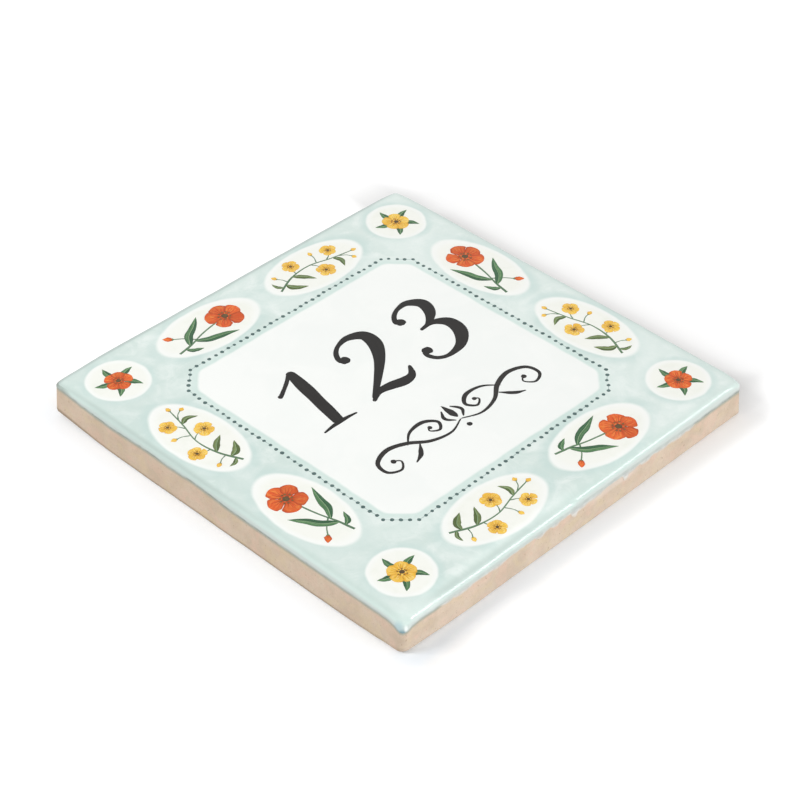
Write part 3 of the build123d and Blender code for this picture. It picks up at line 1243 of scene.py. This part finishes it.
# Painted shadow: where the shadow is lighter or darker than the lift alone leaves it, by raising or lowering
# the floor's glow: by how much, then such bounds
FLOOR_PATCHES = (
    (-0.06, ("up", -49.5, -52.0), ("right", -53.0, -48.0)),
    (0.11, ("up", -49.5, -52.0), ("right", -42.0, -12.0)),
    (-0.085, ("back", -95.5, -98.0), ("back", -104.5, -97.5), ("beside", -5.0, 1.0), ("beside", 12.0, 6.0)),
    (0.09, ("right", -44.0, -34.0), ("right", -16.0, -28.0), ("up", -51.5, -53.5), ("up", -60.0, -56.0)),
    (0.15, ("up", -44.0, -50.0), ("right", 51.0, 57.0)),
    (-0.1, ("right", 46.0, 50.0), ("right", 64.0, 57.0), ("up", -47.0, -38.0)),
    (-0.045, ("right", 46.0, 50.0), ("right", 64.0, 57.0), ("up", 15.0, 46.0)),
    (-0.08, ("right", 46.0, 50.0), ("right", 64.0, 57.0), ("up", 40.0, 54.0)),
    (-0.1, ("back", 0.0, 8.0), ("back", 22.0, 16.0), ("beside", 111.0, 105.0), ("beside", 50.0, 70.0)),
)
# The light that the white surroundings give, as a share of how bright they look
WORLD_LIGHT = 0.62
# Each lamp's direction, size in metres and radiance, and the kind of ray that doesn't meet it
LAMPS = (
    ("key", (-0.68, 0.38, 0.63), (0.34, 0.34), 13.3, "visible_glossy"),
    ("front_fill", (0.1, -1.0, 0.2), (1.0, 0.3), 5.9, "visible_glossy"),
    ("edge_gleam", (0.56, -0.68, 0.485), (0.5, 0.28), 9.6, "visible_diffuse"),
)
LAMP_DISTANCE = 1.0


def add_patches(paint, axes, near, value, patches):
    """Adds each patch's amount to a value, inside the bounds of the patch and near the part."""
    for amount, *bounds in patches:
        ramps = [paint.ramp(axes[axis], start, full) for axis, start, full in bounds]
        value = paint.math("ADD", value, paint.product(near, amount, *ramps))
    return value


def floor_material():
    """Pale floor that keeps the shadow and lifts to white away from the part, with patches of painted shadow
    and a painted cool tint.
    """
    paint = Paint("pale_floor")
    axes = {"right": paint.right, "up": paint.up, "back": paint.math("ADD", paint.right, paint.up),
            "beside": paint.math("SUBTRACT", paint.right, paint.up)}
    shifted = paint.vector("ABSOLUTE", paint.vector("SUBTRACT", paint.place, FLOOR_SHIFT))
    x, y, _ = paint.split(paint.vector("SUBTRACT", shifted, FLOOR_SHIFT))
    away = paint.math("MAXIMUM", x, y)
    near = paint.ramp(away, FLOOR_FAR + PATCH_FADE, FLOOR_FAR)
    cool = add_patches(paint, axes, near, 0.0, COOL_PATCHES)
    lift = paint.ramp(away, FLOOR_NEAR, FLOOR_FAR, *FLOOR_LIFT)
    lift = add_patches(paint, axes, near, lift, FLOOR_PATCHES)
    return paint.finish({"Base Color": paint.blend(cool, FLOOR_PLAIN, FLOOR_COOL), "Roughness": 0.9,
                         "Specular IOR Level": 0.0, "Emission Color": (1, 1, 1, 1),
                         "Emission Strength": paint.product(paint.seen_directly(), lift)})


def add_floor():
    """A wide floor under the part."""
    mesh = bpy.data.meshes.new("floor")
    corners = [(x * FLOOR_HALF, y * FLOOR_HALF, 0) for x, y in ((-1, -1), (1, -1), (1, 1), (-1, 1))]
    mesh.from_pydata(corners, [], [(0, 1, 2, 3)])
    mesh.materials.append(floor_material())
    floor = put("floor", mesh)


def add_world():
    """White surroundings that light the part more softly than they look."""
    world = bpy.data.worlds.new("surroundings")
    world.use_nodes = True
    bpy.context.scene.world = world
    nodes = Nodes(world.node_tree)
    brightness = {"Value": nodes.seen_directly(), "To Min": WORLD_LIGHT, "To Max": 1.0}
    strength = nodes.add("ShaderNodeMapRange", brightness)[0]
    nodes.feed(nodes.tree.nodes["Background"].inputs, {"Color": (1, 1, 1, 1), "Strength": strength})


def add_lamps():
    """Soft rectangular lamps that face the tile: key and fill without gleam, and one that only gleams."""
    for name, direction, size, radiance, unseen in LAMPS:
        data = bpy.data.lights.new(name, "AREA")
        data.shape = "RECTANGLE"
        data.size, data.size_y = size
        data.energy = radiance * math.pi * size[0] * size[1]
        lamp = put(name, data)
        place = Vector(direction).normalized()
        lamp.location = place * LAMP_DISTANCE
        lamp.rotation_euler = place.to_track_quat("Z", "Y").to_euler()
        setattr(lamp, unseen, False)


def add_camera():
    azimuth, elevation = math.radians(CAMERA_AZIMUTH), math.radians(CAMERA_ELEVATION)
    back = Vector((math.sin(azimuth) * math.cos(elevation), -math.cos(azimuth) * math.cos(elevation),
                   math.sin(elevation)))
    level = (-back).cross(Vector((0, 0, 1))).normalized()
    upright = level.cross(-back)
    roll = math.radians(CAMERA_ROLL)
    right = level * math.cos(roll) + upright * math.sin(roll)
    up = upright * math.cos(roll) - level * math.sin(roll)
    data = bpy.data.cameras.new("camera")
    data.lens = CAMERA_LENS
    data.sensor_width = SENSOR
    data.clip_start = 0.01
    camera = put("camera", data)
    turned = Matrix((right, up, back)).transposed().to_4x4()
    turned.translation = (Vector(CAMERA_AIM) + back * CAMERA_DISTANCE) * MM
    camera.matrix_world = turned
    bpy.context.scene.camera = camera


tile_piece()
fringe_piece()
paint_face()
add_floor()
add_world()
add_lamps()
add_camera()
bpy.context.scene.view_settings.view_transform = "Standard"
